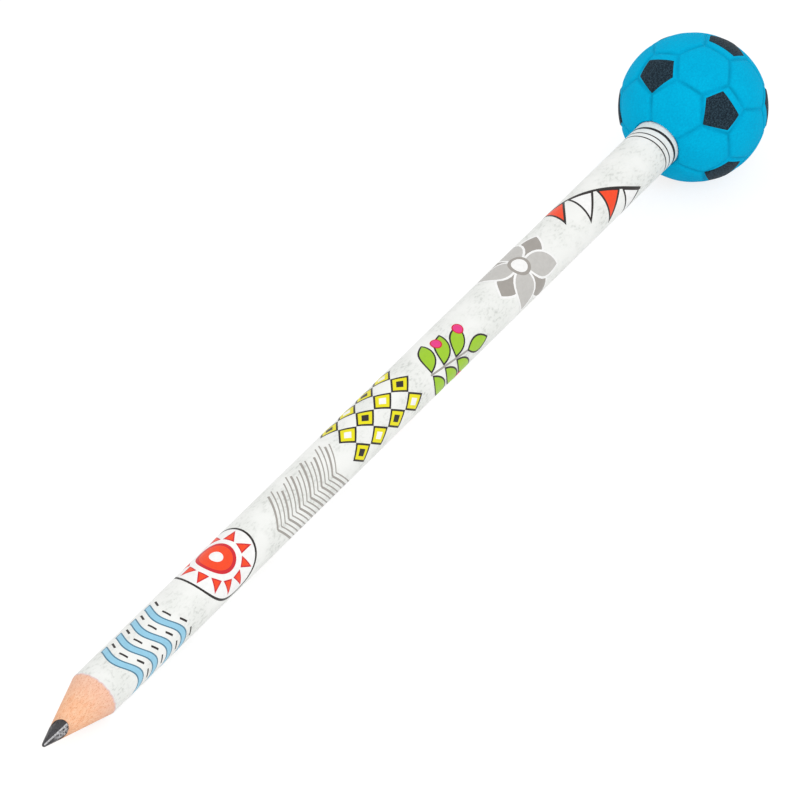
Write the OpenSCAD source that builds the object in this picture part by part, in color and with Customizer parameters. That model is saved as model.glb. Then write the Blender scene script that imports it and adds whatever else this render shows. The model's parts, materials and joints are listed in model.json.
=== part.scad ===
// Round wooden pencil with a football eraser pushed on its back end.
// Every piece is drawn along the pencil's own axis, with the blunt tip at zero
// and the back end up +Z, and then laid on the table by placed().

/* [Pencil] */
// Outside diameter of the barrel over its printed film, mm
barrel_d = 7.6; // [6:0.1:10]
// Length from the blunt tip to the back end, mm
pencil_length = 174; // [110:1:190]
// Diameter of the graphite lead, mm
lead_d = 2.46; // [1.8:0.02:4]
// Distance of the lead from the barrel's middle, along the glue plane, mm
lead_shift = 0.1; // [0:0.02:0.3]
// Thickness of the printed film on its ground coat, mm
film_t = 0.16; // [0.16:0.01:0.3]
// Glue line round the lead and under the film, mm
glue_line = 0.01; // [0.005:0.005:0.03]

/* [Sharpened point] */
// Length of the point from the tip to the film's edge, mm
point_length = 12.5; // [9:0.5:24]
// Diameter of the worn flat at the very tip, mm
tip_flat_d = 0.36; // [0.2:0.02:0.8]
// Diameter where the worn tip meets the cone, mm
tip_d = 0.62; // [0.5:0.02:1.2]
// Length of the worn tip, mm
tip_wear = 0.16; // [0.06:0.02:0.4]
// Lean of the sharpened cone against the barrel, degrees
sharpen_lean = 3; // [0:0.1:4.5]
// Distance from the tip where the cone's axis crosses the barrel's, mm
sharpen_cross = 10.5; // [4:0.1:12]
// Direction of the lean round the barrel, from straight down, degrees
sharpen_turn = 15; // [-180:1:180]

/* [Football] */
// Diameter of the ball, mm
ball_d = 22.8; // [18:0.2:32]
// Turn of the ball's pattern round the pencil, degrees
ball_turn = 161.6; // [0:0.2:360]
// Lean of the ball's pattern against the pencil, degrees
ball_lean = 2.8; // [0:0.1:4]
// Direction of that lean round the pencil, from straight down, degrees
ball_lean_turn = -64; // [-180:1:180]
// Width of the seam channels between panels, mm
seam_width = 0.4; // [0.3:0.05:0.8]
// Depth of the seam channels, mm
seam_depth = 0.2; // [0.15:0.05:0.6]
// Half angle of a black patch from its middle to a corner, degrees
patch_angle = 16; // [13:0.2:16.4]
// Shift of a patch in its panel toward a neighbouring patch, mm
patch_shift = 0.35; // [0:0.05:0.4]
// Depth of a patch's pocket under the ball's surface, mm
pocket_depth = 1.4; // [1:0.1:2.2]
// Height of a patch above the ball's surface, mm
patch_proud = 0.06; // [0.04:0.02:0.3]
// Clearance round a patch in its pocket, mm
patch_clearance = 0.02; // [0.01:0.01:0.08]

/* [Socket] */
// Length of the pencil's bare end inside the ball, mm
socket_grip = 12; // [7:0.5:15]
// Radial clearance of the bare end in the socket, mm
socket_clearance = 0.04; // [0.01:0.01:0.1]
// Air space between the pencil's end and the socket's floor, mm
socket_air = 0.2; // [0.1:0.1:1]
// Width of the chamfer at the socket's mouth, mm
mouth_chamfer = 0.35; // [0.25:0.05:0.6]
// Length of film that runs into the mouth's chamfer, mm
film_run = 0.1; // [0.02:0.02:0.1]

/* [Hidden] */
$fn = 96;

lead_grey = [0.20, 0.20, 0.22];
wood_peach = [0.93, 0.70, 0.52];
film_white = [0.93, 0.93, 0.92];
rubber_blue = [0.0, 0.62, 0.80];
rubber_black = [0.13, 0.16, 0.19];

// How far a cut runs past what it cuts
cut_past = barrel_d / 4;

// Pencil radii
barrel_r = barrel_d / 2;
film_r = barrel_r - film_t;
wood_r = film_r - glue_line;
lead_r = lead_d / 2;
bore_r = lead_r + glue_line;

// Sharpened cone, opening on past the whole barrel so that its lean cuts only the point
cone_slope = (barrel_r - tip_d / 2) / (point_length - tip_wear);
cone_top_z = pencil_length * 1.1;
cone_top_r = tip_d / 2 + (cone_top_z - tip_wear) * cone_slope;

// Ball along the pencil
ball_r = ball_d / 2;
core_r = ball_r - seam_depth;
socket_r = wood_r + socket_clearance;
mouth_drop = sqrt(ball_r * ball_r - socket_r * socket_r);
ball_z = pencil_length - socket_grip + mouth_drop;
mouth_z = ball_z - mouth_drop;
film_end = mouth_z + film_run;
socket_floor = pencil_length + socket_air;

// Rest on the table: the film's edge at the point and the ball both touch it
lean_t = tan(sharpen_lean);
lean_down = lean_t * cos(sharpen_turn);
rest_z = (barrel_r - tip_d / 2 + tip_wear * cone_slope - sharpen_cross * lean_down)
    / (cone_slope - lean_down);
rest_a = ball_z - rest_z;
rest_slope = asin(ball_r / sqrt(rest_a * rest_a + barrel_r * barrel_r))
    - atan2(barrel_r, rest_a);
rest_x = -(ball_z * cos(rest_slope) + ball_r + patch_proud) / 2;
rest_h = ball_r - ball_z * sin(rest_slope);

// The twelve pentagon directions of a football, before pattern() turns them
ring_angle = atan(2);
poles = concat(
    [[0, 0, -1]],
    [for (k = [0:4]) polar(180 - ring_angle, 72 * k)],
    [for (k = [0:4]) polar(ring_angle, 36 + 72 * k)],
    [[0, 0, 1]]
);

// The twenty hexagons, each between three neighbouring pentagons
hexagons = concat(
    [for (k = [0:4]) [0, 1 + k, 1 + (k + 1) % 5]],
    [for (k = [0:4]) [1 + k, 1 + (k + 1) % 5, 6 + k]],
    [for (k = [0:4]) [6 + k, 6 + (k + 1) % 5, 1 + (k + 1) % 5]],
    [for (k = [0:4]) [11, 6 + k, 6 + (k + 1) % 5]]
);
// A neighbour of each pentagon, to turn its corners to
pent_to = [1, 0, 0, 0, 0, 0, 11, 11, 11, 11, 11, 6];

// Corner angles of the football's panels seen from its middle
corner_one = unit(2 * poles[0] + poles[1]);
pent_angle = acos(corner_one * poles[0]);
hex_angle = acos(corner_one * unit(poles[0] + poles[1] + poles[2]));
pent_panel_r = ball_r * sin(pent_angle) - seam_width / 2 / cos(36);
hex_panel_r = ball_r * sin(hex_angle) - seam_width / 2 / cos(30);
patch_r = ball_r * sin(patch_angle);
patch_floor = ball_r - pocket_depth;
panel_from = core_r * 0.8;
panel_height = ball_r * 1.1 - panel_from;

function polar(p, a) = [sin(p) * cos(a), sin(p) * sin(a), cos(p)];
function unit(v) = v / norm(v);
function across(v, n) = unit(v - (v * n) * n);
function turned(n, x, y) = [
    [x[0], y[0], n[0], 0],
    [x[1], y[1], n[1], 0],
    [x[2], y[2], n[2], 0],
    [0, 0, 0, 1]
];

// Turns +Z to direction n and +X toward direction v
module facing(n, v) {
    x = across(v, n);
    multmatrix(turned(n, x, cross(n, x))) children();
}

// Lays the pencil's own axis on the table
module placed() {
    translate([rest_x, 0, rest_h])
        rotate([0, 90 - rest_slope, 0])
            children();
}

// Turns the football's pattern about the ball's middle, with its first pentagon near the socket
module pattern() {
    rotate([0, 0, ball_lean_turn])
        rotate([0, -ball_lean, 0])
            rotate([0, 0, ball_turn - ball_lean_turn])
                children();
}

// What the sharpener leaves: a leaning cone with a worn tip, open above
module sharpened() {
    rotate([0, 0, sharpen_turn])
        translate([0, 0, sharpen_cross])
            rotate([0, -sharpen_lean, 0])
                translate([0, 0, -sharpen_cross])
                    rotate_extrude()
                        polygon([
                            [0, 0],
                            [tip_flat_d / 2, 0],
                            [tip_d / 2, tip_wear],
                            [cone_top_r, cone_top_z],
                            [0, cone_top_z]
                        ]);
}

module graphite_lead() {
    color(lead_grey)
        placed()
            intersection() {
                translate([0, -lead_shift, -cut_past])
                    cylinder(r = lead_r, h = pencil_length + cut_past);
                sharpened();
            }
}

// One grooved half of the casing: turn 0 is the half under the glue plane, 180 the other
module slat(turn) {
    color(wood_peach)
        placed()
            difference() {
                intersection() {
                    cylinder(r = wood_r, h = pencil_length);
                    rotate([0, 0, turn])
                        translate([0, -barrel_d, -cut_past])
                            cube([barrel_d, barrel_d * 2, pencil_length + 2 * cut_past]);
                    sharpened();
                }
                translate([0, -lead_shift, -cut_past])
                    cylinder(r = bore_r, h = pencil_length + 2 * cut_past);
            }
}

module wood_slat_upper() {
    slat(180);
}

module wood_slat_lower() {
    slat(0);
}

module printed_film() {
    color(film_white)
        placed()
            intersection() {
                difference() {
                    translate([0, 0, point_length / 2])
                        cylinder(r = barrel_r, h = film_end - point_length / 2);
                    translate([0, 0, point_length / 2 - cut_past])
                        cylinder(r = film_r, h = film_end);
                }
                sharpened();
            }
}

// A straight-sided block over one panel of the football
module hex_block(f) {
    n = unit(poles[f[0]] + poles[f[1]] + poles[f[2]]);
    facing(n, unit(2 * poles[f[0]] + poles[f[1]]))
        translate([0, 0, panel_from])
            linear_extrude(height = panel_height)
                circle(r = hex_panel_r, $fn = 6);
}

module pent_block(i, r, from, shift = 0) {
    facing(poles[i], poles[pent_to[i]])
        translate([shift, 0, from])
            linear_extrude(height = ball_r * 1.1 - from)
                circle(r = r, $fn = 5);
}

module panels() {
    intersection() {
        sphere(r = ball_r);
        union() {
            for (f = hexagons)
                hex_block(f);
            for (i = [0:11])
                pent_block(i, pent_panel_r, panel_from);
        }
    }
}

// The blind hole for the pencil's end, with its chamfered mouth
module socket() {
    translate([0, 0, -mouth_drop - cut_past])
        cylinder(r = socket_r, h = socket_floor - mouth_z + cut_past);
    translate([0, 0, -mouth_drop - mouth_chamfer])
        cylinder(
            r1 = socket_r + 2 * mouth_chamfer,
            r2 = socket_r,
            h = 2 * mouth_chamfer
        );
}

module eraser_ball() {
    color(rubber_blue)
        placed()
            translate([0, 0, ball_z])
                difference() {
                    union() {
                        sphere(r = core_r);
                        pattern()
                            panels();
                    }
                    pattern()
                        for (i = [1:11])
                            pent_block(i, patch_r + patch_clearance, patch_floor, patch_shift);
                    socket();
                }
}

// One black pentagon, seated on its pocket's floor
module patch(i) {
    color(rubber_black)
        placed()
            translate([0, 0, ball_z])
                intersection() {
                    pattern()
                        pent_block(i, patch_r, patch_floor, patch_shift);
                    sphere(r = ball_r + patch_proud);
                }
}

module black_patch_01() {
    patch(1);
}

module black_patch_02() {
    patch(2);
}

module black_patch_03() {
    patch(3);
}

module black_patch_04() {
    patch(4);
}

module black_patch_05() {
    patch(5);
}

module black_patch_06() {
    patch(6);
}

module black_patch_07() {
    patch(7);
}

module black_patch_08() {
    patch(8);
}

module black_patch_09() {
    patch(9);
}

module black_patch_10() {
    patch(10);
}

module black_patch_11() {
    patch(11);
}

graphite_lead();
wood_slat_upper();
wood_slat_lower();
printed_film();
eraser_ball();
black_patch_01();
black_patch_02();
black_patch_03();
black_patch_04();
black_patch_05();
black_patch_06();
black_patch_07();
black_patch_08();
black_patch_09();
black_patch_10();
black_patch_11();
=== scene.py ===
# %% [markdown]
# # A wooden pencil with a football eraser on its end
# A round pencil in a printed white film lies on a pale table. A blue rubber football with black patches
# sits on its back end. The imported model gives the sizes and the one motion, pulling the ball off, and this
# file gives every surface its finish. It comes first, because all later pieces are placed by it.

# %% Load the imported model
import json
from math import acos, asin, atan, atan2, cos, pi, radians, sin, sqrt, tan

import bmesh
import bpy
import numpy as np
from mathutils import Matrix, Vector


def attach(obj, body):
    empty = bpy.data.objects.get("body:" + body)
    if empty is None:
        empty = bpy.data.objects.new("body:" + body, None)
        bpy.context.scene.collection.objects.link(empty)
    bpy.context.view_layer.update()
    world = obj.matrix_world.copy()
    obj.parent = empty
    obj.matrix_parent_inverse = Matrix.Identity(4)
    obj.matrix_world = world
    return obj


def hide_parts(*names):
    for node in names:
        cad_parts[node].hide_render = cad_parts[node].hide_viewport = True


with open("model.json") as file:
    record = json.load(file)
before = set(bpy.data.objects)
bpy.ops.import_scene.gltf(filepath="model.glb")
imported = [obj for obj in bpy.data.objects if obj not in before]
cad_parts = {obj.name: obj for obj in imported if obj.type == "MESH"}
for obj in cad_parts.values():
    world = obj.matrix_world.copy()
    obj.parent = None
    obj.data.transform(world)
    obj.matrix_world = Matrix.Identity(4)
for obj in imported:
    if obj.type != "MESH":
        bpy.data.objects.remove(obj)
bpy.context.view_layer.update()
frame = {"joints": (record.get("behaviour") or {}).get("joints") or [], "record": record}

# %% [markdown]
# ## The pencil's own frame
# The pencil leans a little, because it lies on its point and on a fatter ball. Modelling on a slant is
# awkward, so every piece is drawn upright in millimetres: the blunt tip at zero, +Z along the pencil to the
# ball and +X down to the table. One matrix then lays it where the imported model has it. The slide joint
# gives the direction, and the barrel's mount a point on the axis.

# %% Pencil frame
MM = 0.001
POINT_LENGTH = 12.5   # tip to the film's edge
FILM_END = 162.1      # tip to the film's end in the ball's mouth
PENCIL_LENGTH = 174.0

barrel = frame["record"]["mounts"][0]
BARREL_R = barrel["dims"]["r_mm"]
along = Vector(frame["joints"][0]["axis"]).normalized()
across = Vector((0, 1, 0))
down = across.cross(along)
tip = Vector(barrel["pos_m"]) - along * (POINT_LENGTH + FILM_END) / 2 * MM
slope = atan2(along.z, along.x)
PLACE = (
    Matrix.Translation(tip)
    @ Matrix((down, across, along)).transposed().to_4x4()
    @ Matrix.Scale(MM, 4)
)
print("tip in mm:", [round(x / MM, 2) for x in tip], "slope:", round(slope * 180 / pi, 3))

# %% [markdown]
# ## Helpers for pieces
# A piece starts as a bmesh, is shaped with operators, and ends as an object that rides on a CAD body. The
# last steps are always the same: merge doubles, turn the faces outwards, lay the piece in place, shade it
# smooth except at real edges, and hide the CAD node that it stands for.

# %% Finishing a piece
SHARP_ANGLE = radians(32)
MERGE_DISTANCE = 0.0002   # mm


def finish_piece(name, bm, body, materials, replaces=(), sharp=SHARP_ANGLE):
    bmesh.ops.remove_doubles(bm, verts=bm.verts, dist=MERGE_DISTANCE)
    bmesh.ops.recalc_face_normals(bm, faces=bm.faces)
    bmesh.ops.transform(bm, matrix=PLACE, verts=bm.verts)
    mesh = bpy.data.meshes.new(name)
    bm.to_mesh(mesh)
    bm.free()
    for material in materials:
        mesh.materials.append(material)
    mesh.shade_smooth()
    mesh.set_sharp_from_angle(angle=sharp)
    piece = bpy.data.objects.new(name, mesh)
    bpy.context.scene.collection.objects.link(piece)
    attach(piece, body)
    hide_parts(*replaces)
    print(name, "has", len(mesh.polygons), "faces")
    return piece


# %% [markdown]
# ## Helpers for materials
# Colours are picked as sRGB hex values, and a shader works in linear light, so one function converts them.
# Another adds a node with its settings and its links. A third starts a material with a Mapping node that
# gives each place in millimetres along and across the pencil, so a pattern's scale is one over its real
# size, and a stretched grain divides the place by a size for each direction. A Map Range node takes input 0
# from the range of inputs 1 and 2 to that of 3 and 4.

# %% Colours and nodes
MIX_FACTOR, MIX_A, MIX_B, MIX_OUT = 0, 6, 7, 2   # sockets of a Mix node that mixes colours


def linear(code):
    channels = [int(code[i:i + 2], 16) / 255 for i in (1, 3, 5)]
    return (*[c / 12.92 if c <= 0.04045 else ((c + 0.055) / 1.055) ** 2.4 for c in channels], 1.0)


def add(tree, kind, inputs=None, **settings):
    node = tree.nodes.new("ShaderNode" + kind)
    for key, value in settings.items():
        setattr(node, key, value)
    for key, value in (inputs or {}).items():
        if isinstance(value, bpy.types.NodeSocket):
            tree.links.new(value, node.inputs[key])
        else:
            node.inputs[key].default_value = value
    return node


def start_material(name, **constants):
    """A material, its nodes and shader, and places in mm: x along the pencil from its tip, others across."""
    material = bpy.data.materials.new(name)
    material.use_nodes = True
    tree = material.node_tree
    shader = tree.nodes["Principled BSDF"]
    for key, value in constants.items():
        shader.inputs[key.replace("_", " ")].default_value = value
    mapping = add(
        tree, "Mapping",
        {
            "Vector": add(tree, "TexCoord").outputs["Object"],
            "Location": tip, "Rotation": (0, -slope, 0), "Scale": (MM, MM, MM),
        },
        vector_type="TEXTURE",
    )
    return material, tree, shader, mapping.outputs["Vector"]


greys = [round(linear(code)[0], 3) for code in ("#000000", "#808080", "#FFFFFF")]
print("black, mid grey and white in linear light:", greys)

# %% [markdown]
# ## Blue moulded rubber
# The football is soft vinyl rubber, moulded in one piece. The mould's fine blasting leaves it matt, so it
# has a broad dull highlight, and its colour is finely mottled and drifts a little from place to place. The
# seams get painted shade, a darker blue that is stronger in some places than in others, so the ball's mesh
# carries a value named seam for this material.

# %% Blue rubber
RUBBER_GRAIN = 0.28   # blasted mould grain, drawn about three times coarser to show
RUBBER_DRIFT = 3.5

blue_rubber, tree, shader, place = start_material("Blue moulded rubber", IOR=1.5, Specular_IOR_Level=0.03)
drift = add(tree, "TexNoise", {"Vector": place, "Scale": 1 / RUBBER_DRIFT, "Detail": 3.0})
grain = add(tree, "TexNoise", {"Vector": place, "Scale": 1 / RUBBER_GRAIN, "Detail": 2.0})
grit = add(tree, "MapRange", {0: grain.outputs["Fac"], 1: 0.3, 2: 0.7, 3: 0.0, 4: 0.5})
mottled = add(tree, "Math", {0: drift.outputs["Fac"], 1: 0.5, 2: grit.outputs[0]}, operation="MULTIPLY_ADD")
body_colour = add(
    tree, "Mix",
    {MIX_FACTOR: mottled.outputs[0], MIX_A: linear("#00A2D2"), MIX_B: linear("#00BFEB")},
    data_type="RGBA",
)
# Painted shade in the seams: a darker blue, mixed in by the mesh's seam value, more in some places than in
# others.
seam_value = add(tree, "Attribute", attribute_name="seam")
dark_share = add(tree, "MapRange", {0: drift.outputs["Fac"], 1: 0.36, 2: 0.64, 3: 0.12, 4: 0.5})
seam_shade_share = add(
    tree, "Math", {0: seam_value.outputs["Fac"], 1: dark_share.outputs[0]}, operation="MULTIPLY"
)
seam_shade_colour = add(
    tree, "Mix",
    {MIX_FACTOR: seam_shade_share.outputs[0], MIX_A: body_colour.outputs[MIX_OUT], MIX_B: linear("#00789C")},
    data_type="RGBA",
)
dullness = add(tree, "MapRange", {0: grain.outputs["Fac"], 3: 0.62, 4: 0.82})
relief = add(tree, "Bump", {"Strength": 0.4, "Distance": 0.04 * MM, "Height": grain.outputs["Fac"]})
tree.links.new(seam_shade_colour.outputs[MIX_OUT], shader.inputs["Base Color"])
tree.links.new(dullness.outputs[0], shader.inputs["Roughness"])
tree.links.new(relief.outputs[0], shader.inputs["Normal"])
print("made", blue_rubber.name)

# %% [markdown]
# ## Black grained rubber
# The pentagons are black rubber with a coarser, sandy face that scatters small grey points of light. Two
# noises of different sizes give the grain: the fine one its grey points, the other the bumps they sit on.

# %% Black rubber
SAND_POINTS = 0.2
SAND_LUMPS = 0.42

black_rubber, tree, shader, place = start_material("Black grained rubber", IOR=1.5, Specular_IOR_Level=0.1)
points = add(tree, "TexNoise", {"Vector": place, "Scale": 1 / SAND_POINTS, "Detail": 2.0})
lumps = add(tree, "TexNoise", {"Vector": place, "Scale": 1 / SAND_LUMPS, "Detail": 3.0})
bright = add(tree, "MapRange", {0: points.outputs["Fac"], 1: 0.42, 2: 0.75})
face_colour = add(
    tree, "Mix",
    {MIX_FACTOR: bright.outputs[0], MIX_A: linear("#13222C"), MIX_B: linear("#384F5D")},
    data_type="RGBA",
)
dullness = add(tree, "MapRange", {0: lumps.outputs["Fac"], 3: 0.5, 4: 0.8})
relief = add(tree, "Bump", {"Strength": 0.45, "Distance": 0.06 * MM, "Height": lumps.outputs["Fac"]})
tree.links.new(face_colour.outputs[MIX_OUT], shader.inputs["Base Color"])
tree.links.new(dullness.outputs[0], shader.inputs["Roughness"])
tree.links.new(relief.outputs[0], shader.inputs["Normal"])
print("made", black_rubber.name)

# %% [markdown]
# ## Sharpened basswood
# The casing is pale basswood, and the sharpener's blade has just cut it. The eye sees a warm peach ground,
# short darker flecks along the grain, and paler streaks between them. Near the lead the blade has dragged
# some graphite into the pores. All sizes are stretched along the pencil, because the grain runs that way.
# Towards the film, its pink adhesive has soaked in a little and left the wood paler.

# %% Basswood
GRAIN_STREAK = (5.0, 0.35, 0.35)
GRAIN_FLECK = (0.6, 0.11, 0.11)
SMUDGE_FROM, SMUDGE_TO = 5.4, 3.4   # mm from the tip, none to full
TINT_FROM, TINT_TO = 7.5, 12.5

basswood, tree, shader, place = start_material("Sharpened basswood", IOR=1.5, Specular_IOR_Level=0.2)
in_streaks = add(tree, "VectorMath", {0: place, 1: GRAIN_STREAK}, operation="DIVIDE")
streak = add(tree, "TexNoise", {"Vector": in_streaks.outputs[0], "Scale": 1.0, "Detail": 4.0})
in_flecks = add(tree, "VectorMath", {0: place, 1: GRAIN_FLECK}, operation="DIVIDE")
fleck = add(tree, "TexNoise", {"Vector": in_flecks.outputs[0], "Scale": 1.0, "Detail": 2.0})
streak_share = add(tree, "MapRange", {0: streak.outputs["Fac"], 1: 0.35, 2: 0.65})
fleck_share = add(tree, "MapRange", {0: fleck.outputs["Fac"], 1: 0.52, 2: 0.7, 3: 0.0, 4: 0.75})
ground = add(
    tree, "Mix",
    {MIX_FACTOR: streak_share.outputs[0], MIX_A: linear("#FFCEAA"), MIX_B: linear("#FABB92")},
    data_type="RGBA",
)
from_tip = add(tree, "SeparateXYZ", {0: place})
tint = add(tree, "MapRange", {0: from_tip.outputs[0], 1: TINT_FROM, 2: TINT_TO, 3: 0.0, 4: 0.55})
tinted = add(
    tree, "Mix",
    {MIX_FACTOR: tint.outputs[0], MIX_A: ground.outputs[MIX_OUT], MIX_B: linear("#F5CFC2")},
    data_type="RGBA",
)
flecked = add(
    tree, "Mix",
    {MIX_FACTOR: fleck_share.outputs[0], MIX_A: tinted.outputs[MIX_OUT], MIX_B: linear("#DB9268")},
    data_type="RGBA",
)
smudge = add(tree, "MapRange", {0: from_tip.outputs[0], 1: SMUDGE_FROM, 2: SMUDGE_TO, 3: 0.0, 4: 0.5})
smudge_share = add(tree, "Math", {0: smudge.outputs[0], 1: fleck.outputs["Fac"]}, operation="MULTIPLY")
smudged = add(
    tree, "Mix",
    {MIX_FACTOR: smudge_share.outputs[0], MIX_A: flecked.outputs[MIX_OUT], MIX_B: linear("#6E5A50")},
    data_type="RGBA",
)
dullness = add(tree, "MapRange", {0: fleck.outputs["Fac"], 3: 0.6, 4: 0.9})
relief = add(tree, "Bump", {"Strength": 0.25, "Distance": 0.05 * MM, "Height": fleck.outputs["Fac"]})
tree.links.new(smudged.outputs[MIX_OUT], shader.inputs["Base Color"])
tree.links.new(dullness.outputs[0], shader.inputs["Roughness"])
tree.links.new(relief.outputs[0], shader.inputs["Normal"])
print("made", basswood.name)

# %% [markdown]
# ## Fired graphite
# The lead is graphite and clay, fired and waxed. It gets three finishes: dull dark facets, one ridge
# with a painted highlight, and a facet of painted glints, light specks on dark that fade out near the tip.
# They differ only in their two colours and in how much of the speckle pattern shows, so one loop makes all
# three.

# %% Graphite
GRAPHITE_SPECKLE_SIZE = (0.3, 0.2, 0.2)
FLAKE_SIZE = 0.14
GLINTS_FADE_FROM, GLINTS_FADE_TO = 2.5, 1.7   # mm from the tip, where the painted glints fade out and the facet turns dark and even
# Each finish: flat colour, deep colour, noise values where the deep colour starts to show and covers all,
# dark share at the tip
# The second finish is a painted highlight, the third painted glints, light specks on dark.
GRAPHITE = {
    "cut": ("#4A494C", "#323133", 0.42, 0.66, 0.0),
    "painted_highlight": ("#C9C8CA", "#6A696B", 0.46, 0.7, 0.0),
    "speckle_and_glints": ("#B2B1B4", "#343335", 0.44, 0.6, 0.9),
}

graphites = []
for finish, (flat, deep, speckle_from, speckle_to, tip_share) in GRAPHITE.items():
    material, tree, shader, place = start_material(
        f"Fired graphite {finish}", IOR=1.5, Specular_IOR_Level=0.25
    )
    in_speckles = add(tree, "VectorMath", {0: place, 1: GRAPHITE_SPECKLE_SIZE}, operation="DIVIDE")
    speckle_noise = add(tree, "TexNoise", {"Vector": in_speckles.outputs[0], "Scale": 1.0, "Detail": 4.0})
    flake = add(tree, "TexNoise", {"Vector": place, "Scale": 1 / FLAKE_SIZE, "Detail": 2.0})
    speckle_mask = add(tree, "MapRange", {0: speckle_noise.outputs["Fac"], 1: speckle_from, 2: speckle_to})
    from_tip = add(tree, "SeparateXYZ", {0: place})
    dark_share = add(
        tree, "MapRange",
        {0: from_tip.outputs[0], 1: GLINTS_FADE_FROM, 2: GLINTS_FADE_TO, 3: 0.0, 4: tip_share},
    )
    speckle_and_glints = add(tree, "Math", {0: speckle_mask.outputs[0], 1: dark_share.outputs[0]}, operation="MAXIMUM")
    lead_colour = add(
        tree, "Mix",
        {MIX_FACTOR: speckle_and_glints.outputs[0], MIX_A: linear(flat), MIX_B: linear(deep)},
        data_type="RGBA",
    )
    dullness = add(tree, "MapRange", {0: speckle_and_glints.outputs[0], 3: 0.3, 4: 0.6})
    relief = add(tree, "Bump", {"Strength": 0.35, "Distance": 0.03 * MM, "Height": flake.outputs["Fac"]})
    tree.links.new(lead_colour.outputs[MIX_OUT], shader.inputs["Base Color"])
    tree.links.new(dullness.outputs[0], shader.inputs["Roughness"])
    tree.links.new(relief.outputs[0], shader.inputs["Normal"])
    graphites.append(material)
print("made", len(graphites), "graphite finishes")

# %% [markdown]
# ## White printed film
# The barrel is wrapped in a thin white plastic film that is printed before it is wrapped. Its ground is a
# cool white with pale grey clouds and fine specks, like worn paper, under a satin varnish. Clouds and specks
# are two noises, and specks show only where a cloud is. The film's cut edge shows its pink adhesive coat.

# %% Film
CLOUD_SIZE = 5.0
SPECK_SIZE = (0.7, 0.4, 0.4)

white_film, tree, shader, place = start_material(
    "White printed film", IOR=1.5, Roughness=0.42, Specular_IOR_Level=0.3
)
cloud = add(tree, "TexNoise", {"Vector": place, "Scale": 1 / CLOUD_SIZE, "Detail": 3.0})
in_specks = add(tree, "VectorMath", {0: place, 1: SPECK_SIZE}, operation="DIVIDE")
speck = add(tree, "TexNoise", {"Vector": in_specks.outputs[0], "Scale": 1.0, "Detail": 4.0})
cloud_share = add(tree, "MapRange", {0: cloud.outputs["Fac"], 1: 0.4, 2: 0.64})
speck_share = add(tree, "MapRange", {0: speck.outputs["Fac"], 1: 0.5, 2: 0.7, 3: 0.0, 4: 0.5})
both = add(tree, "Math", {0: cloud_share.outputs[0], 1: speck_share.outputs[0]}, operation="MULTIPLY")
clouded = add(
    tree, "Mix",
    {MIX_FACTOR: cloud_share.outputs[0], MIX_A: linear("#F7F8F5"), MIX_B: linear("#EDEFEB")},
    data_type="RGBA",
)
specked = add(
    tree, "Mix",
    {MIX_FACTOR: both.outputs[0], MIX_A: clouded.outputs[MIX_OUT], MIX_B: linear("#ABAFA9")},
    data_type="RGBA",
)
tree.links.new(specked.outputs[MIX_OUT], shader.inputs["Base Color"])

film_edge, tree, shader, place = start_material(
    "Cut edge of the film", IOR=1.5, Roughness=0.6, Specular_IOR_Level=0.2
)
in_specks = add(tree, "VectorMath", {0: place, 1: SPECK_SIZE}, operation="DIVIDE")
edge_noise = add(tree, "TexNoise", {"Vector": in_specks.outputs[0], "Scale": 1.0})
edge_colour = add(
    tree, "Mix",
    {MIX_FACTOR: edge_noise.outputs["Fac"], MIX_A: linear("#E3BDBB"), MIX_B: linear("#F2DEDC")},
    data_type="RGBA",
)
tree.links.new(edge_colour.outputs[MIX_OUT], shader.inputs["Base Color"])
print("made", white_film.name, "and", film_edge.name)

# %% [markdown]
# ## Printing inks
# The film carries solvent inks under the same varnish. A gravure cylinder lays ink in tiny cells, so a
# large flat of colour is never quite even. Each ink is one colour with a faint, fine unevenness.

# %% Inks
INK_COLOURS = {
    "white": "#FFFFFE",
    "black": "#2A2523",
    "red": "#FF4B1E",
    "crimson": "#D92330",
    "yellow": "#F4EA0A",
    "sky": "#9AD2EC",
    "steel": "#4F7F99",
    "grey": "#A9A49E",
    "silver": "#CBC9C5",
    "lime": "#A3D22C",
    "pink": "#F23C8C",
}
INK_NAMES = list(INK_COLOURS)
INK_CELLS = 0.6   # gravure cells, drawn much coarser to show

inks = {}
for ink, code in INK_COLOURS.items():
    inks[ink], tree, shader, place = start_material(
        f"Gravure ink {ink}", IOR=1.5, Roughness=0.4, Specular_IOR_Level=0.3
    )
    cells = add(tree, "TexNoise", {"Vector": place, "Scale": 1 / INK_CELLS, "Detail": 2.0})
    uneven = add(tree, "MapRange", {0: cells.outputs["Fac"], 1: 0.3, 2: 0.7, 3: 0.93, 4: 1.0})
    colour = add(tree, "HueSaturation", {"Value": uneven.outputs[0], "Color": linear(code)})
    tree.links.new(colour.outputs[0], shader.inputs["Base Color"])
print("made", len(inks), "inks")

# %% [markdown]
# ## The football's cage
# A football has twelve pentagons and twenty hexagons. Blender has no such shape, but it is an icosahedron
# with its twelve corners cut off a third of the way along each edge, so an icosphere and a vertex bevel
# make it. On this ball the pattern does not sit quite straight on the pencil, so the cage is turned and
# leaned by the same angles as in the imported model.

# %% Cage
BALL_R = 11.4
SOCKET_R = 3.67
SOCKET_GRIP = 12.0
MOUTH_Z = PENCIL_LENGTH - SOCKET_GRIP
BALL_Z = MOUTH_Z + sqrt(BALL_R ** 2 - SOCKET_R ** 2)
BALL_TURN = radians(161.6)
BALL_LEAN = radians(2.8)
BALL_LEAN_TURN = radians(-64)
RING_ANGLE = atan(2)              # from a pole of the ball to its nearest ring of pentagons
ICO_FIRST_AZIMUTH = radians(36)   # where an icosphere's lower ring starts
PATTERN = (
    Matrix.Rotation(BALL_LEAN_TURN, 3, "Z")
    @ Matrix.Rotation(-BALL_LEAN, 3, "Y")
    @ Matrix.Rotation(BALL_TURN - BALL_LEAN_TURN, 3, "Z")
)


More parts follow.
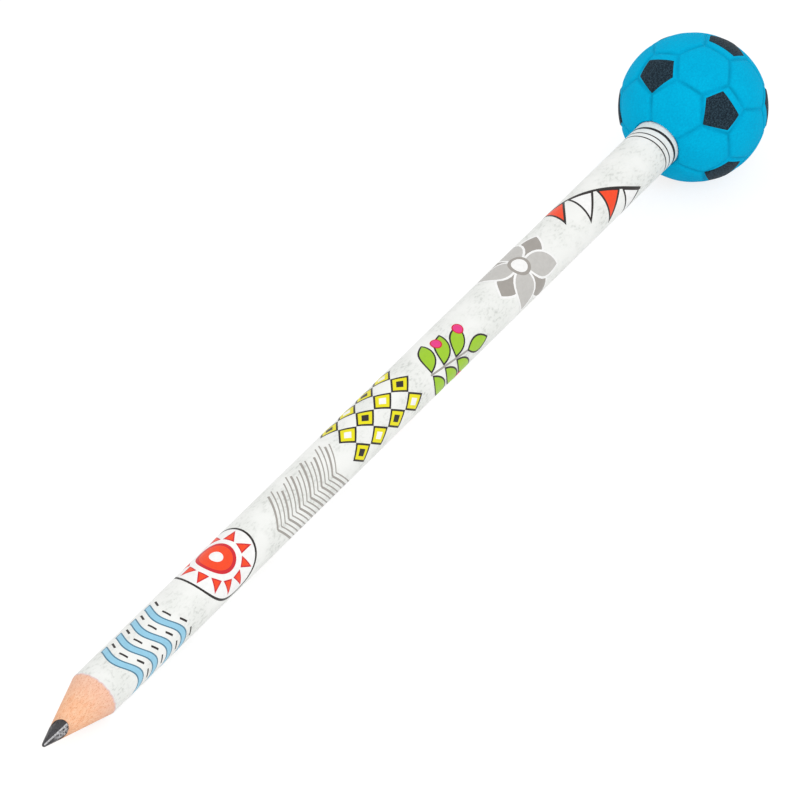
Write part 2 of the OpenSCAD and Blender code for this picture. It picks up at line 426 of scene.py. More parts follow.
def pole(number):
    """The direction of a pentagon: 0 at the pencil, 1 to 5 and 6 to 10 in two rings, 11 opposite."""
    if number in (0, 11):
        return PATTERN @ Vector((0, 0, 1 if number else -1))
    height = -cos(RING_ANGLE) if number < 6 else cos(RING_ANGLE)
    azimuth = radians(72 * (number - 1) + (0 if number < 6 else 36))
    return PATTERN @ Vector((sin(RING_ANGLE) * cos(azimuth), sin(RING_ANGLE) * sin(azimuth), height))


def nearest_pole(face):
    return max(range(12), key=lambda number: pole(number).dot(face.calc_center_median()))


def football_cage():
    bm = bmesh.new()
    bmesh.ops.create_icosphere(bm, subdivisions=1, radius=BALL_R)
    turn = PATTERN @ Matrix.Rotation(-ICO_FIRST_AZIMUTH, 3, "Z")
    bmesh.ops.rotate(bm, verts=bm.verts, matrix=turn)
    bmesh.ops.bevel(
        bm, geom=bm.verts[:], offset=100 / 3, offset_type="PERCENT", affect="VERTICES",
        segments=1, profile=0.5, material=-1,
    )
    bm.normal_update()
    return bm


cage = football_cage()
panel_normals = np.array([f.normal for f in cage.faces])
panel_heights = np.array([f.normal.dot(f.calc_center_median()) for f in cage.faces])
panel_planes = panel_normals / panel_heights[:, None]
pentagon_height = max(panel_heights)
print(len(cage.faces), "panels, of which pentagons:", sum(len(f.verts) == 5 for f in cage.faces))
cage.free()

# %% [markdown]
# ## The eraser ball
# The rubber ball is one moulding: seams between its panels, a shallow pocket for each black patch, and a
# blind hole for the pencil. The cage's pentagon at the pencil is taken out for the hole, the others are
# inset for their pockets, and everything is subdivided and blown up to a sphere. One formula then presses
# the seams in: it measures how far each point lies from the nearest panel edge. Another makes the hole's
# five-sided edge round.

# %% Seams
SEAM_DEPTH = 0.2
SEAM_HALF_WIDTH = 0.3
PANEL_CROWN = 0.05      # how much a panel's edge lies lower than its middle
CROWN_REACH = 1.2
ROWS = 24


def seam_distances(points):
    """For each point, how far in mm its direction lies from the nearest edge between two panels."""
    rays = points / np.linalg.norm(points, axis=1)[:, None]
    own = np.argmax(rays @ panel_planes.T, axis=1)
    nearest = np.full(len(rays), pi)
    for plane in panel_planes:
        between = panel_planes[own] - plane
        length = np.linalg.norm(between, axis=1)
        foreign = length > 1e-6
        side = np.einsum("ij,ij->i", between, rays) / np.where(foreign, length, 1)
        nearest = np.where(foreign, np.minimum(nearest, np.arcsin(np.clip(side, -1, 1))), nearest)
    return nearest * BALL_R


print("seams", SEAM_DEPTH, "mm deep and about", 2 * SEAM_HALF_WIDTH, "mm wide")

# %% Mouth
LIP_R = 4.04
MOUTH_REACH = radians(36)     # how far from the axis the skin makes way for the hole
lip_angle = asin(LIP_R / BALL_R)
mouth_panel = int(np.argmax(panel_normals @ np.array(pole(0))))
mouth_planes = panel_planes[mouth_panel] - np.delete(panel_planes, mouth_panel, axis=0)


def open_mouth(direction):
    """Slides a direction near the hole away from it, so that the pentagon's edge becomes a round lip."""
    away = acos(max(-1.0, min(1.0, -direction.z)))
    if away > MOUTH_REACH:
        return direction
    azimuth = atan2(direction.y, direction.x)
    outward = np.array((-cos(azimuth), -sin(azimuth)))
    edge = np.arctan2(-mouth_planes[:, 2], mouth_planes[:, :2] @ outward).min()
    share = (MOUTH_REACH - away) / (MOUTH_REACH - edge)
    moved = away + share * (lip_angle - edge)
    return Vector((sin(moved) * cos(azimuth), sin(moved) * sin(azimuth), -cos(moved)))


print("lip at", round(lip_angle * 180 / pi, 2), "degrees from the axis")

# %% [markdown]
# ## Where the patches sit
# A patch is not a regular pentagon in the middle of its panel. Each came from the mould with a nose drawn
# out toward a neighbouring pentagon and a base that stays further from the seam. Five corners say this, as
# angles seen from the ball's middle, and both a pocket and its patch are made from them.

# %% Patch corners
# Degrees round from the nose, and degrees out from the middle
PATCH_CORNERS = [(0, 19.0), (71, 16.2), (128, 14.4), (-128, 14.4), (-71, 16.2)]
PATCH_GAP = 0.03
POCKET_DEPTH = 1.4


def patch_corners(number, gap=0.0):
    """A patch's corners on the flat cage, from its nose round, or with a gap those of its pocket."""
    own = pole(number)
    neighbour = pole(0 if number < 6 else 11 if number < 11 else 6)
    nose = (neighbour - own * neighbour.dot(own)).normalized()
    spokes = [(Matrix.Rotation(radians(turn), 3, own) @ nose, radians(out)) for turn, out in PATCH_CORNERS]
    return [(own + spoke * tan(out + gap / BALL_R)) * pentagon_height for spoke, out in spokes]


print("a patch's nose is", round(BALL_R * sin(radians(PATCH_CORNERS[0][1])), 2), "mm from its middle")

# %% Ball mesh
PANEL_RIM = 0.5           # a first inset, before the pocket's corners go to their places

ball = football_cage()
pentagons = [f for f in ball.faces if len(f.verts) == 5]
mouth = next(f for f in pentagons if nearest_pole(f) == 0)
pentagons.remove(mouth)
bmesh.ops.inset_individual(ball, faces=pentagons, thickness=PANEL_RIM, use_even_offset=True)
for face in pentagons:
    corners = patch_corners(nearest_pole(face), PATCH_GAP)
    for v in face.verts:
        v.co = min(corners, key=lambda corner: (corner - v.co).length)
bmesh.ops.delete(ball, geom=[mouth], context="FACES_ONLY")
bmesh.ops.poke(ball, faces=[f for f in ball.faces if len(f.verts) == 6])
bmesh.ops.subdivide_edges(ball, edges=ball.edges[:], cuts=ROWS - 1, use_grid_fill=True)

for v in ball.verts:
    v.co = open_mouth(v.co.normalized()) * BALL_R
# The seam value is the groove's own profile, and says where the blue rubber gets its painted shade.
seam_layer = ball.verts.layers.float.new("seam")
distances = seam_distances(np.array([v.co for v in ball.verts]))
for v, distance in zip(ball.verts, distances):
    groove = np.exp(-((distance / SEAM_HALF_WIDTH) ** 2))
    v[seam_layer] = groove
    v.co *= 1 - (SEAM_DEPTH * groove + PANEL_CROWN * np.exp(-distance / CROWN_REACH)) / BALL_R
print("ball skin:", len(ball.faces), "faces")

# %% [markdown]
# ## Pockets and socket
# Each inset pentagon is still one large face, so extruding it inwards makes a pocket with straight walls,
# and flattening the new face gives its floor. The hole is made the same way from its open edge: the loop is
# extruded in small steps round the lip, then down the bore, and filled at the bottom. A Boolean would do
# both too, but it leaves thin triangles round the mouth that shade badly.

# %% Pockets
pocket_faces = [f for f in ball.faces if len(f.verts) == 5 * ROWS]
for face in pocket_faces:
    axis = pole(nearest_pole(face))
    sunk = bmesh.ops.extrude_discrete_faces(ball, faces=[face])["faces"][0]
    for v in sunk.verts:
        v.co += axis * (BALL_R - POCKET_DEPTH - v.co.dot(axis))
print(len(pocket_faces), "pockets")

# %% Socket
LIP_ROUND = LIP_R - SOCKET_R
LIP_STEPS = 5
SOCKET_AIR = 0.2          # between the pencil's end and the socket's floor
SOCKET_FLOOR = PENCIL_LENGTH + SOCKET_AIR - BALL_Z

lip_height = -sqrt(BALL_R ** 2 - LIP_R ** 2)
steps = []
for k in range(1, LIP_STEPS + 1):
    turn = pi / 2 * k / LIP_STEPS
    steps.append((LIP_R - LIP_ROUND * (1 - cos(turn)), lip_height + LIP_ROUND * sin(turn)))
steps.append((SOCKET_R, SOCKET_FLOOR))

loop = [e for e in ball.edges if e.is_boundary]
for radius, height in steps:
    grown = bmesh.ops.extrude_edge_only(ball, edges=loop)["geom"]
    for v in (g for g in grown if isinstance(g, bmesh.types.BMVert)):
        outward = Vector((v.co.x, v.co.y, 0)).normalized()
        v.co = outward * radius + Vector((0, 0, height))
    loop = [g for g in grown if isinstance(g, bmesh.types.BMEdge)]
bmesh.ops.holes_fill(ball, edges=loop, sides=0)
bmesh.ops.translate(ball, verts=ball.verts, vec=(0, 0, BALL_Z))
finish_piece("football_eraser", ball, "topper", [blue_rubber], ["eraser_ball"])

# %% [markdown]
# ## The black patches
# Each patch is a thick pentagon of black rubber that sits in its pocket and stands a little proud, so its
# edge catches a line of shade. It starts as one flat face on its five corners, which are rounded a little.
# Then it is subdivided, blown up to a slightly larger sphere, and its rim is extruded down and rounded.

# %% Patches
PATCH_PROUD = 0.03
PATCH_EDGE_ROUND = 0.08
PATCH_CORNER_ROUND = 0.16
PATCH_ROWS = 12


def black_patch(number):
    axis = pole(number)
    bm = bmesh.new()
    bm.faces.new([bm.verts.new(corner) for corner in patch_corners(number)])
    bmesh.ops.bevel(
        bm, geom=bm.verts[:], offset=PATCH_CORNER_ROUND, offset_type="OFFSET", affect="VERTICES",
        segments=2, profile=0.5, material=-1,
    )
    bmesh.ops.poke(bm, faces=bm.faces[:])
    bmesh.ops.subdivide_edges(bm, edges=bm.edges[:], cuts=PATCH_ROWS - 1, use_grid_fill=True)
    for v in bm.verts:
        v.co = v.co.normalized() * (BALL_R + PATCH_PROUD)
    rim = [e for e in bm.edges if e.is_boundary]
    grown = bmesh.ops.extrude_edge_only(bm, edges=rim)["geom"]
    for v in (g for g in grown if isinstance(g, bmesh.types.BMVert)):
        v.co += axis * (BALL_R - POCKET_DEPTH + PATCH_GAP - v.co.dot(axis))
    bmesh.ops.holes_fill(bm, edges=[g for g in grown if isinstance(g, bmesh.types.BMEdge)], sides=0)
    bmesh.ops.bevel(
        bm, geom=rim, offset=PATCH_EDGE_ROUND, offset_type="OFFSET", affect="EDGES",
        segments=3, profile=0.5, material=-1,
    )
    bmesh.ops.translate(bm, verts=bm.verts, vec=(0, 0, BALL_Z))
    return finish_piece(
        f"football_patch_{number:02d}", bm, "topper", [black_rubber],
        [f"black_patch_{number:02d}"],
    )


patches = [black_patch(number) for number in range(1, 12)]
print(len(patches), "patches")

# %% [markdown]
# ## Turned shapes and the sharpener's cut
# Lead, wood and film are all turned about one axis, so a profile of a few points and the spin operator make
# each blank. The sharpener held the pencil a little askew, so its cone leans, and the film's edge runs
# slanting round the barrel. A leaning cone is made the same way and a Boolean keeps what is inside it.

# %% Turning and cutting
SIDES = 120
TIP_FLAT_R = 0.18
TIP_R = 0.31
TIP_WEAR = 0.16
SHARPEN_LEAN = radians(3)
SHARPEN_CROSS = 10.5
SHARPEN_TURN = radians(15)
CONE_SLOPE = (BARREL_R - TIP_R) / (POINT_LENGTH - TIP_WEAR)
CONE_TOP = PENCIL_LENGTH * 1.1
POLE_MERGE = 0.0005       # points this close to each other on the axis become one


def turned(profile, turn=2 * pi, steps=SIDES):
    """Spins a closed outline of radius and height about the pencil's axis, for a whole or a part turn."""
    bm = bmesh.new()
    verts = [bm.verts.new((r, 0, z)) for r, z in profile]
    edges = [bm.edges.new((a, b)) for a, b in zip(verts, verts[1:] + verts[:1])]
    whole = turn > 2 * pi - 0.001
    bmesh.ops.spin(
        bm, geom=verts + edges, cent=(0, 0, 0), axis=(0, 0, 1), dvec=(0, 0, 0), angle=turn,
        steps=steps, use_merge=whole, use_duplicate=False,
    )
    bmesh.ops.remove_doubles(bm, verts=bm.verts, dist=POLE_MERGE)
    loose = [e for e in bm.edges if not e.link_faces]
    bmesh.ops.delete(bm, geom=loose, context="EDGES")
    if not whole:
        bmesh.ops.holes_fill(bm, edges=[e for e in bm.edges if e.is_boundary], sides=0)
    bmesh.ops.recalc_face_normals(bm, faces=bm.faces)
    return bm


def sharpening_cone(steps=SIDES, first=0.0, swell=1.0):
    bm = turned(
        [
            (0, 0), (TIP_FLAT_R * swell, 0), (TIP_R * swell, TIP_WEAR),
            ((TIP_R + (CONE_TOP - TIP_WEAR) * CONE_SLOPE) * swell, CONE_TOP), (0, CONE_TOP),
        ],
        steps=steps,
    )
    lean = (
        Matrix.Rotation(SHARPEN_TURN, 4, "Z")
        @ Matrix.Translation((0, 0, SHARPEN_CROSS))
        @ Matrix.Rotation(-SHARPEN_LEAN, 4, "Y")
        @ Matrix.Translation((0, 0, -SHARPEN_CROSS))
        @ Matrix.Rotation(first, 4, "Z")
    )
    bmesh.ops.transform(bm, matrix=lean, verts=bm.verts)
    return bm


def kept_inside(blank, cutter):
    """What the cutter leaves of a blank, both closed meshes in the pencil's own millimetres."""
    pair = []
    for name, bm in (("blank", blank), ("cutter", cutter)):
        mesh = bpy.data.meshes.new(name)
        bm.to_mesh(mesh)
        bm.free()
        pair.append(bpy.data.objects.new(name, mesh))
        bpy.context.scene.collection.objects.link(pair[-1])
    cut = pair[0].modifiers.new("cut", "BOOLEAN")
    cut.operation = "INTERSECT"
    cut.solver = "EXACT"
    cut.object = pair[1]
    result = bmesh.new()
    result.from_object(pair[0], bpy.context.evaluated_depsgraph_get())
    for obj in pair:
        mesh = obj.data
        bpy.data.objects.remove(obj)
        bpy.data.meshes.remove(mesh)
    return result


print("cone opens", round(CONE_SLOPE, 4), "mm of radius per mm")

# %% [markdown]
# ## Wood casing and lead
# A pencil's casing is two grooved slats glued round the lead, so the wood is two half rods, each with half
# of a round groove. The slats slipped a little when they were glued, so the lead is not quite in the middle.
# The blade that shaved the lead left it in facets with a bright ridge between them, so the lead's cutter has
# few sides, and its long edges are rounded off a little.

# %% Slats
LEAD_R = 1.23
LEAD_SHIFT = Vector((0, -0.1, 0))   # off the barrel's middle, along the glue plane
GLUE_LINE = 0.01
FILM_T = 0.06
WOOD_R = BARREL_R - FILM_T - GLUE_LINE
BARE_END_R = 3.63
SLAT = [
    (0, 0), (WOOD_R, 0), (WOOD_R, FILM_END - GLUE_LINE),
    (BARE_END_R, FILM_END - GLUE_LINE), (BARE_END_R, PENCIL_LENGTH), (0, PENCIL_LENGTH),
]
GROOVE = [
    (LEAD_R + GLUE_LINE, -1), (BARREL_R * 2, -1), (BARREL_R * 2, PENCIL_LENGTH + 1),
    (LEAD_R + GLUE_LINE, PENCIL_LENGTH + 1),
]
for node, first_angle in (("wood_slat_lower", -pi / 2), ("wood_slat_upper", pi / 2)):
    half = turned(SLAT, turn=pi, steps=SIDES // 2)
    bmesh.ops.rotate(half, verts=half.verts, matrix=Matrix.Rotation(first_angle, 3, "Z"))
    round_groove = turned(GROOVE)
    bmesh.ops.translate(round_groove, verts=round_groove.verts, vec=LEAD_SHIFT)
    slat = kept_inside(kept_inside(half, round_groove), sharpening_cone())
    finish_piece(f"pencil_{node}", slat, "pencil", [basswood], [node])

# %% Lead
LEAD_FACETS = 7
LEAD_SWELL = 1.04                  # ridges a little over the smooth cone, facets a little under it
BRIGHT_RIDGE = radians(224)        # round the pencil, nearly facing the camera
BRIGHT_RIDGE_ROUND = 0.13
RIDGE_ROUND = 0.03
HIGHLIGHT_REACH = radians(20)         # round the pencil, from the bright ridge
GLINTS_REACH = radians(34)
LEAD_SHARP = radians(60)
CUT, PAINTED_HIGHLIGHT_FINISH, PAINTED_GLINTS_FINISH = range(3)       # the order of the graphite finishes


def past_ridge(direction):
    """How far round the pencil a direction lies from the bright ridge."""
    return (atan2(direction.y, direction.x) - BRIGHT_RIDGE + pi) % (2 * pi) - pi


cutter = sharpening_cone(LEAD_FACETS, BRIGHT_RIDGE - SHARPEN_TURN, LEAD_SWELL)
ridges = [e for e in cutter.edges if e.calc_length() > PENCIL_LENGTH]
ridges.sort(key=lambda e: abs(past_ridge(max(e.verts, key=lambda v: v.co.z).co)))
for edges, offset in ((ridges[:1], BRIGHT_RIDGE_ROUND), (ridges[1:], RIDGE_ROUND)):
    bmesh.ops.bevel(
        cutter, geom=edges, offset=offset, offset_type="OFFSET", affect="EDGES",
        segments=2, profile=0.5, material=-1,
    )
bmesh.ops.recalc_face_normals(cutter, faces=cutter.faces)
blank = turned([(0, -1), (LEAD_R, -1), (LEAD_R, PENCIL_LENGTH), (0, PENCIL_LENGTH)])
bmesh.ops.translate(blank, verts=blank.verts, vec=LEAD_SHIFT)
lead = kept_inside(blank, cutter)
lead.normal_update()
# Faces near the bright ridge get the painted highlight, and faces just past it the painted glints.
for face in lead.faces:
    turn = past_ridge(face.normal)
    on_cone = -0.9 < face.normal.z < -0.1   # neither the worn flat nor the rod's own side
    if on_cone and abs(turn) < HIGHLIGHT_REACH:
        face.material_index = PAINTED_HIGHLIGHT_FINISH
    elif on_cone and 0 < turn < GLINTS_REACH:
        face.material_index = PAINTED_GLINTS_FINISH
for finish, number in (("cut", CUT), ("painted_highlight", PAINTED_HIGHLIGHT_FINISH), ("speckle_and_glints", PAINTED_GLINTS_FINISH)):
    print(finish, "faces:", sum(f.material_index == number for f in lead.faces))
finish_piece("pencil_lead", lead, "pencil", graphites, ["graphite_lead"], sharp=LEAD_SHARP)

# %% [markdown]
# ## The film
# The film is a thin tube from the sharpened edge to the ball. Its cut face at the point gets the material of
# its edge: those are the faces that look towards the point. The blade left that edge a little ragged, so the
# sum of two waves of different lengths moves its points along the pencil.

# %% Film tube
FILM_SHOWN_END = FILM_END + 0.28   # just under the ball's rounded lip, so that no bare wood shows
FILM_RAG = 0.05                    # how far the blade left the film's edge uneven
FILM_SHARP = radians(10)           # so that the cut edge stays crisp
FILM = [
    (BARREL_R - FILM_T, POINT_LENGTH / 2), (BARREL_R, POINT_LENGTH / 2),
    (BARREL_R, FILM_SHOWN_END), (BARREL_R - FILM_T, FILM_SHOWN_END),
]
tube = kept_inside(turned(FILM), sharpening_cone())
bmesh.ops.recalc_face_normals(tube, faces=tube.faces)
cut_faces = [f for f in tube.faces if f.normal.z < -0.1]
for face in cut_faces:
    face.material_index = 1
for v in {v for f in cut_faces for v in f.verts}:
    angle = atan2(v.co.y, v.co.x)
    v.co.z += FILM_RAG * (sin(19 * angle) + 0.7 * sin(31 * angle + 1))
finish_piece(
    "pencil_film", tube, "pencil", [white_film, film_edge], ["printed_film"], sharp=FILM_SHARP
)
print(len(cut_faces), "faces on the film's cut edge")

# %% [markdown]
# ## The print, drawn flat
# The film is printed flat and then wrapped, so the print is modelled flat too: x runs round the barrel and
# y along it, in millimetres, and every face carries the number of its ink. Shapes come from circles, grids
# and insets. A higher layer lies a few thousandths of a millimetre over a lower one, as overprinting does.

# %% Drawing tools
LAYER = 0.004
sheet = bmesh.new()


def at(x, y, turn=0.0, layer=0, size=(1.0, 1.0)):
    return (
        Matrix.Translation((x, y, layer * LAYER))
        @ Matrix.Rotation(radians(turn), 4, "Z")
        @ Matrix.Diagonal((*size, 1.0, 1.0))
    )


def ink_faces(faces, ink):
    for face in faces:
        face.material_index = INK_NAMES.index(ink)


def blot(sides, radius, place, ink):
    """A disc, or with few sides a triangle, a lozenge or another regular shape with a corner along y."""
    made = bmesh.ops.create_circle(sheet, cap_ends=True, segments=sides, radius=radius, matrix=place)
    face = made["verts"][0].link_faces[0]
    ink_faces([face], ink)
    return face


def outlined(face, width, ink):
    """Gives a shape an outline of another ink, taken from its own area."""
    rim = bmesh.ops.inset_individual(sheet, faces=[face], thickness=width, use_even_offset=True)["faces"]
    ink_faces(rim, ink)
    return face


def stroke(length, width, place, ink, bend=None, steps=1):
    """A straight stroke along x, or one bent by a function of the distance along it."""
    made = bmesh.ops.create_grid(
        sheet, x_segments=steps, y_segments=1, size=0.5, matrix=Matrix.Diagonal((length, width, 1.0, 1.0))
    )
    if bend:
        for v in made["verts"]:
            v.co.y += bend(v.co.x)
    bmesh.ops.transform(sheet, matrix=place, verts=made["verts"])
    ink_faces({f for v in made["verts"] for f in v.link_faces}, ink)


def leaf(length, width, place, ink, rim, rim_ink):
    """A pointed leaf along y from its stalk: one of the outline's ink and a smaller one over it."""
    rim_at_tip = rim / sin(atan(2 * width / length))
    for layer, shrink, colour in ((0, 0, rim_ink), (1, 1, ink)):
        made = bmesh.ops.create_circle(sheet, cap_ends=True, segments=28, radius=1.0)
        for v in made["verts"]:
            v.co.x *= (width / 2 - shrink * rim) * abs(v.co.x)
            v.co.y = length / 2 + v.co.y * (length / 2 - shrink * rim_at_tip)
        bmesh.ops.transform(sheet, matrix=place @ at(0, 0, 0, layer), verts=made["verts"])
        ink_faces(made["verts"][0].link_faces, colour)


print("inks in order:", ", ".join(INK_NAMES))

# %% [markdown]
# ## The motifs
# The print is a plain school pattern of suns, rosettes, waves, hatching, leaves, flags, lozenges and nested
# squares. Each motif is a short function, so that it can be stamped at several places round the barrel.

# %% Suns and rosettes
def sun(x, y, size, turn=0.0):
    outlined(blot(64, size, at(x, y), "white"), size * 0.055, "black")
    for k in range(12):
        ray = at(x, y, turn + k * 30, 1) @ at(0, size * 0.68, 0, 0, (0.75, 1.1))
        outlined(blot(3, size * 0.2, ray, "red"), size * 0.03, "crimson")
    outlined(blot(40, size * 0.44, at(x, y, 0, 1), "red"), size * 0.08, "crimson")
    blot(24, size * 0.15, at(x, y, 0, 2), "white")


def rosette(x, y, size, turn=0.0):
    for k in range(8):
        place = at(x, y, turn + k * 45, 1 + 2 * (k % 2))
        leaf(size, size * 0.62, place, "silver" if k % 2 else "grey", size * 0.05, "white")
    outlined(blot(32, size * 0.24, at(x, y, 0, 5), "white"), size * 0.07, "grey")


# %% Waves and hatching
def waves(x, y, width, rows):
    pitch, period, height = 3.6, 9.0, 1.1
    band, fill, dash = 1.5, 1.0, 1.4
    dash_pitch = 2.4

    def swell(along_x):
        return height * sin(along_x * 2 * pi / period)

    for row in range(rows):
        base = y + row * pitch
        stroke(width, band, at(x, base), "steel", swell, 72)
        stroke(width - 0.4, fill, at(x, base, 0, 1), "sky", swell, 72)
        for k in range(int(width / dash_pitch)):
            along_x = -width / 2 + (k + 0.5) * dash_pitch
            lean = atan(height * 2 * pi / period * cos(along_x * 2 * pi / period))
            place = at(x + along_x, base + pitch / 2 + swell(along_x), np.degrees(lean))
            stroke(dash, 0.34, place, "black")


def hatching(x, y, rows, length):
    slant, pitch = 38, 0.95
    for side in (-1, 1):
        for k in range(rows):
            span = length * (0.72 + 0.28 * sin(2.4 * k + side) ** 2)
            inner_end = at(x, y + (k - rows / 2) * pitch, side * slant)
            stroke(span, 0.2 if k % 3 else 0.34, inner_end @ at(side * span / 2, 0), "grey")


# %% Leaves, flags and lozenges
def sprig(x, y, size, turn=0.0):
    stem = at(x, y, turn)
    stroke(size * 1.9, 0.3, stem @ at(0, size * 0.9, 90), "grey")
    for k in range(3):
        for side in (-1, 1):
            place = stem @ at(side * 0.15, k * size * 0.5, -side * (62 - 8 * k), 1 + 2 * k)
            leaf(size * 0.95, size * 0.48, place, "lime", 0.28, "black")
    leaf(size * 0.9, size * 0.46, stem @ at(0, size * 1.5, 0, 7), "lime", 0.28, "black")
    for k, side in enumerate((-1, 1, -1)):
        place = stem @ at(side * size * 0.62, size * (0.75 + 0.42 * k), 0, 9)
        outlined(blot(24, size * 0.16, place, "pink"), 0.18, "crimson")


def flags(x, y, count, turn=0.0):
    line = at(x, y, turn)
    pitch, radius, stretch = 4.8, 2.7, 1.35
    stroke(count * pitch, 0.42, at(x, y, turn, 2), "black")
    for k in range(count):
        along_x = (k + 0.5 - count / 2) * pitch
        place = line @ at(along_x, -radius * stretch / 2, 180, 1, (0.95, stretch))
        outlined(blot(3, radius, place, "white" if k % 2 else "red"), 0.36, "black")


def lozenges(x, y, columns, rows, width, height):
    for row in range(rows):
        for column in range(columns):
            centre = (x + (column - (columns - 1) / 2) * width, y + row * height)
            outlined(blot(4, 0.5, at(*centre, 0, 0, (width, height)), "yellow"), 0.3, "black")
            inner = "white" if (row + column) % 2 else "black"
            blot(4, 0.2, at(*centre, 0, 1, (width, height)), inner)


def squares(x, y, size, turn=0.0):
    face = blot(4, size, at(x, y, turn), "white")
    for k, ink in enumerate(("grey", "white", "silver", "white", "grey")):
        outlined(face, size * (0.1 if k % 2 == 0 else 0.06), ink)
    ink_faces([face], "silver")


print("eight motifs are ready")

# %% [markdown]
# ## The layout
# Motifs are stamped along the barrel with bare film between them, some in front and some behind, so that
# the pencil looks printed from every side. x = 0 faces the camera, and the barrel is nearly 24 mm round.
# Three thin rings close the print at the ball, and sway a little, because the film was wrapped askew.

# %% Stamping
BACK = pi * BARREL_R      # half way round the barrel

waves(0.8, 17.6, 11.0, 4)
sun(-2.0, 43.0, 7.0, 8)
hatching(1.6, 62.5, 17, 6.6)
lozenges(-1.2, 76.0, 3, 4, 3.4, 4.6)
sprig(1.2, 95.5, 5.8, -8)
rosette(-1.4, 122.5, 7.6, 12)
flags(-1.6, 143.5, 4, 58)
squares(BACK + 0.5, 34.0, 5.8, 20)
sprig(BACK + 1.0, 50.0, 4.4, 6)
rosette(BACK - 0.5, 75.0, 5.6)
sun(BACK, 93.0, 5.4)
waves(BACK, 106.0, 9.6, 3)
lozenges(BACK + 0.5, 128.0, 3, 3, 2.8, 4.2)
squares(BACK, 149.0, 5.0, 12)
print("motifs:", len(sheet.faces), "faces")

# %% Rings
RING_GAP = 0.02           # the film's own seam, too narrow to show
RING_SWAY, RING_PHASE = 0.7, 0.8
RINGS = ((160.6, 0.5), (159.2, 0.24), (158.2, 0.24))   # place along the pencil and line width


def ring_sway(along_x):
    return RING_SWAY * sin(along_x / BARREL_R + RING_PHASE)


for height, width in RINGS:
    stroke(2 * BACK - RING_GAP, width, at(0, height), "black", ring_sway, 48)
print("flat print:", len(sheet.faces), "faces")

# %% [markdown]
# ## Wrapping the print round the barrel
# A flat face bent round a tube would cut through it, so the sheet is first sliced along every line where
# the film's own sides meet. Then each point goes to its angle, every ink is split off as its own piece, and
# a hair of thickness closes it, so that the pieces are solid and not loose faces.

# %% Wrapping
FACING_CAMERA = radians(216.2)    # the side of the pencil that the photograph shows
INK_LIFT = 0.004
INK_T = 0.003
side_width = 2 * BARREL_R * sin(pi / SIDES)
side_angle = 2 * pi / SIDES
phase = FACING_CAMERA / side_angle % 1

reach = max(abs(v.co.x) for v in sheet.verts)
arc = BARREL_R * side_angle
for k in range(-int(reach / arc) - 1, int(reach / arc) + 2):
    line = (k - phase) * arc
    crossed = [f for f in sheet.faces if min(v.co.x for v in f.verts) < line < max(v.co.x for v in f.verts)]
    if crossed:
        edges = list({e for f in crossed for e in f.edges})
        verts = list({v for f in crossed for v in f.verts})
        bmesh.ops.bisect_plane(
            sheet, geom=verts + edges + crossed, dist=0.0001, plane_co=(line, 0, 0), plane_no=(1, 0, 0)
        )
print("sliced print:", len(sheet.faces), "faces, each side", round(side_width, 4), "mm wide")


def wrapped(point):
    """A flat point on the barrel: along the chord of the film's side that it lies on."""
    angle = FACING_CAMERA + point.x / BARREL_R
    within = (angle / side_angle) % 1 - 0.5
    chord = cos(side_angle / 2) / cos(within * side_angle)
    radius = (BARREL_R + INK_LIFT + point.z) * chord
    return Vector((radius * cos(angle), radius * sin(angle), point.y))


for v in sheet.verts:
    v.co = wrapped(v.co)

# %% Ink pieces
for number, ink in enumerate(INK_NAMES):
    layer = sheet.copy()
    others = [f for f in layer.faces if f.material_index != number]
    bmesh.ops.delete(layer, geom=others, context="FACES")
    for face in layer.faces:
        face.material_index = 0
        middle = face.calc_center_median()
        face.normal_update()
        if face.normal.dot(Vector((middle.x, middle.y, 0))) < 0:
            face.normal_flip()
    bmesh.ops.solidify(layer, geom=layer.faces[:], thickness=INK_T)
    finish_piece(f"print_{ink}", layer, "pencil", [inks[ink]])
sheet.free()

# %% [markdown]
# ## Stage
# The pencil lies on a white sweep under soft, even light. The floor is seen as white by the camera and by
# reflections, with a share of its real shading left in, so that a faint shadow stays under the object. The
# world does the same: white to look at, and a plain fill for light.

# %% Floor
GLOW = 0.8
SHADED_PAPER = "#929292"
FLOOR_SIZE = 6.0
FLOOR_DROP = 0.0001


def seen_directly(tree):
    """1 for camera, glossy and transmission rays, 0 for the light that falls on things."""
    path = add(tree, "LightPath")
    either = add(
        tree, "Math",
        {0: path.outputs["Is Camera Ray"], 1: path.outputs["Is Glossy Ray"]}, operation="MAXIMUM",
    )
    return add(
        tree, "Math",
        {0: either.outputs[0], 1: path.outputs["Is Transmission Ray"]}, operation="MAXIMUM",
    ).outputs[0]


white_sweep = bpy.data.materials.new("White paper sweep")
white_sweep.use_nodes = True
tree = white_sweep.node_tree
tree.nodes.remove(tree.nodes["Principled BSDF"])
paper = add(tree, "BsdfDiffuse", {"Color": linear("#EFEFEF")})
shaded = add(tree, "BsdfDiffuse", {"Color": linear(SHADED_PAPER)})
glow = add(tree, "Emission", {"Color": linear("#FFFFFF"), "Strength": GLOW})
shown = add(tree, "AddShader", {0: shaded.outputs[0], 1: glow.outputs[0]})
blend = add(tree, "MixShader", {0: seen_directly(tree), 1: paper.outputs[0], 2: shown.outputs[0]})
tree.links.new(blend.outputs[0], tree.nodes["Material Output"].inputs["Surface"])

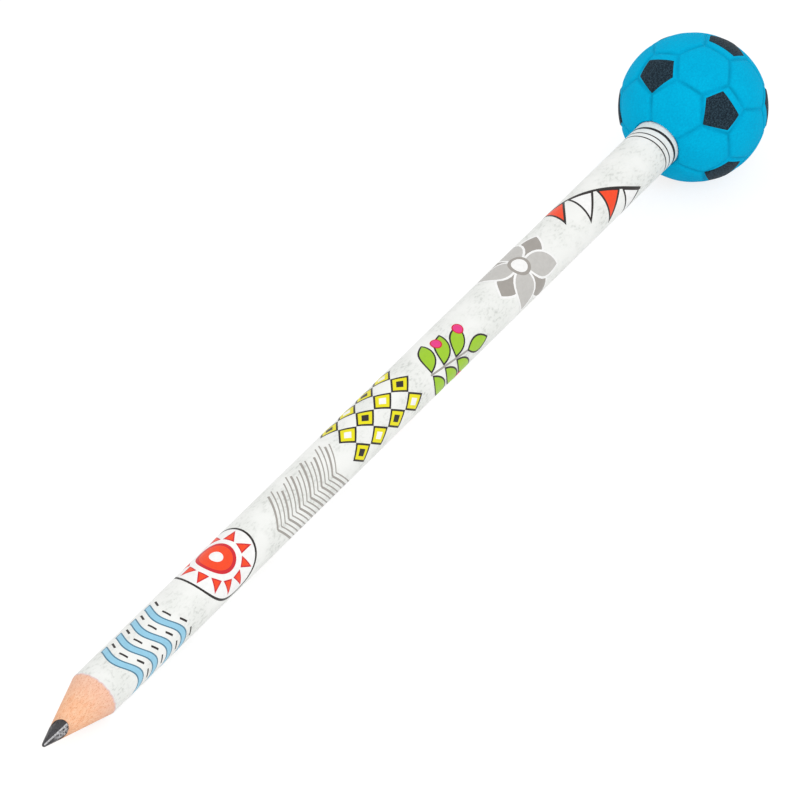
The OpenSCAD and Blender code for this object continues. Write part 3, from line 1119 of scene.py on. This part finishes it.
bm = bmesh.new()
bmesh.ops.create_grid(bm, x_segments=1, y_segments=1, size=FLOOR_SIZE / 2)
bmesh.ops.translate(bm, verts=bm.verts, vec=(0, 0, -FLOOR_DROP))
mesh = bpy.data.meshes.new("floor")
bm.to_mesh(mesh)
bm.free()
mesh.materials.append(white_sweep)
floor = bpy.data.objects.new("floor", mesh)
bpy.context.scene.collection.objects.link(floor)
print("floor of", FLOOR_SIZE, "m")

# %% Light
FILL = 0.85
KEY_POWER = 2.1
KEY_SIZE = 0.7
KEY_FROM = Vector((-0.49, -0.53, 0.71))

world = bpy.data.worlds.new("Studio")
bpy.context.scene.world = world
world.use_nodes = True
tree = world.node_tree
background = tree.nodes["Background"]
background.inputs["Color"].default_value = linear("#FFFFFF")
level = add(tree, "MapRange", {0: seen_directly(tree), 3: FILL, 4: 1.0})
tree.links.new(level.outputs[0], background.inputs["Strength"])

lamp = bpy.data.lights.new("key", "AREA")
lamp.energy = KEY_POWER
lamp.size = KEY_SIZE
key = bpy.data.objects.new("key", lamp)
key.location = KEY_FROM
key.rotation_mode = "QUATERNION"
key.rotation_quaternion = (-KEY_FROM).to_track_quat("-Z", "Y")
bpy.context.scene.collection.objects.link(key)
bpy.context.scene.view_settings.view_transform = "Standard"
print("fill", FILL, "and key of", KEY_POWER, "W")

# %% [markdown]
# ## Camera
# The photograph was taken from far away with a long lens, a little over a third of the way up from the
# table, so the pencil runs across the picture from corner to corner with almost no narrowing.

# %% Camera
CAMERA_AIM = Vector((2.257, 1.902, 3.936)) * MM
CAMERA_AZIMUTH = radians(-56.737)
CAMERA_ELEVATION = radians(36.669)
CAMERA_DISTANCE = 1.4477
CAMERA_LENS = 442.93

back = Vector((
    sin(CAMERA_AZIMUTH) * cos(CAMERA_ELEVATION),
    -cos(CAMERA_AZIMUTH) * cos(CAMERA_ELEVATION),
    sin(CAMERA_ELEVATION),
))
view = bpy.data.cameras.new("camera")
view.lens = CAMERA_LENS
view.sensor_width = 36.0
camera = bpy.data.objects.new("camera", view)
camera.location = CAMERA_AIM + back * CAMERA_DISTANCE
camera.rotation_mode = "QUATERNION"
camera.rotation_quaternion = (-back).to_track_quat("-Z", "Y")
bpy.context.scene.collection.objects.link(camera)
bpy.context.scene.camera = camera
print("camera at", [round(x, 3) for x in camera.location])
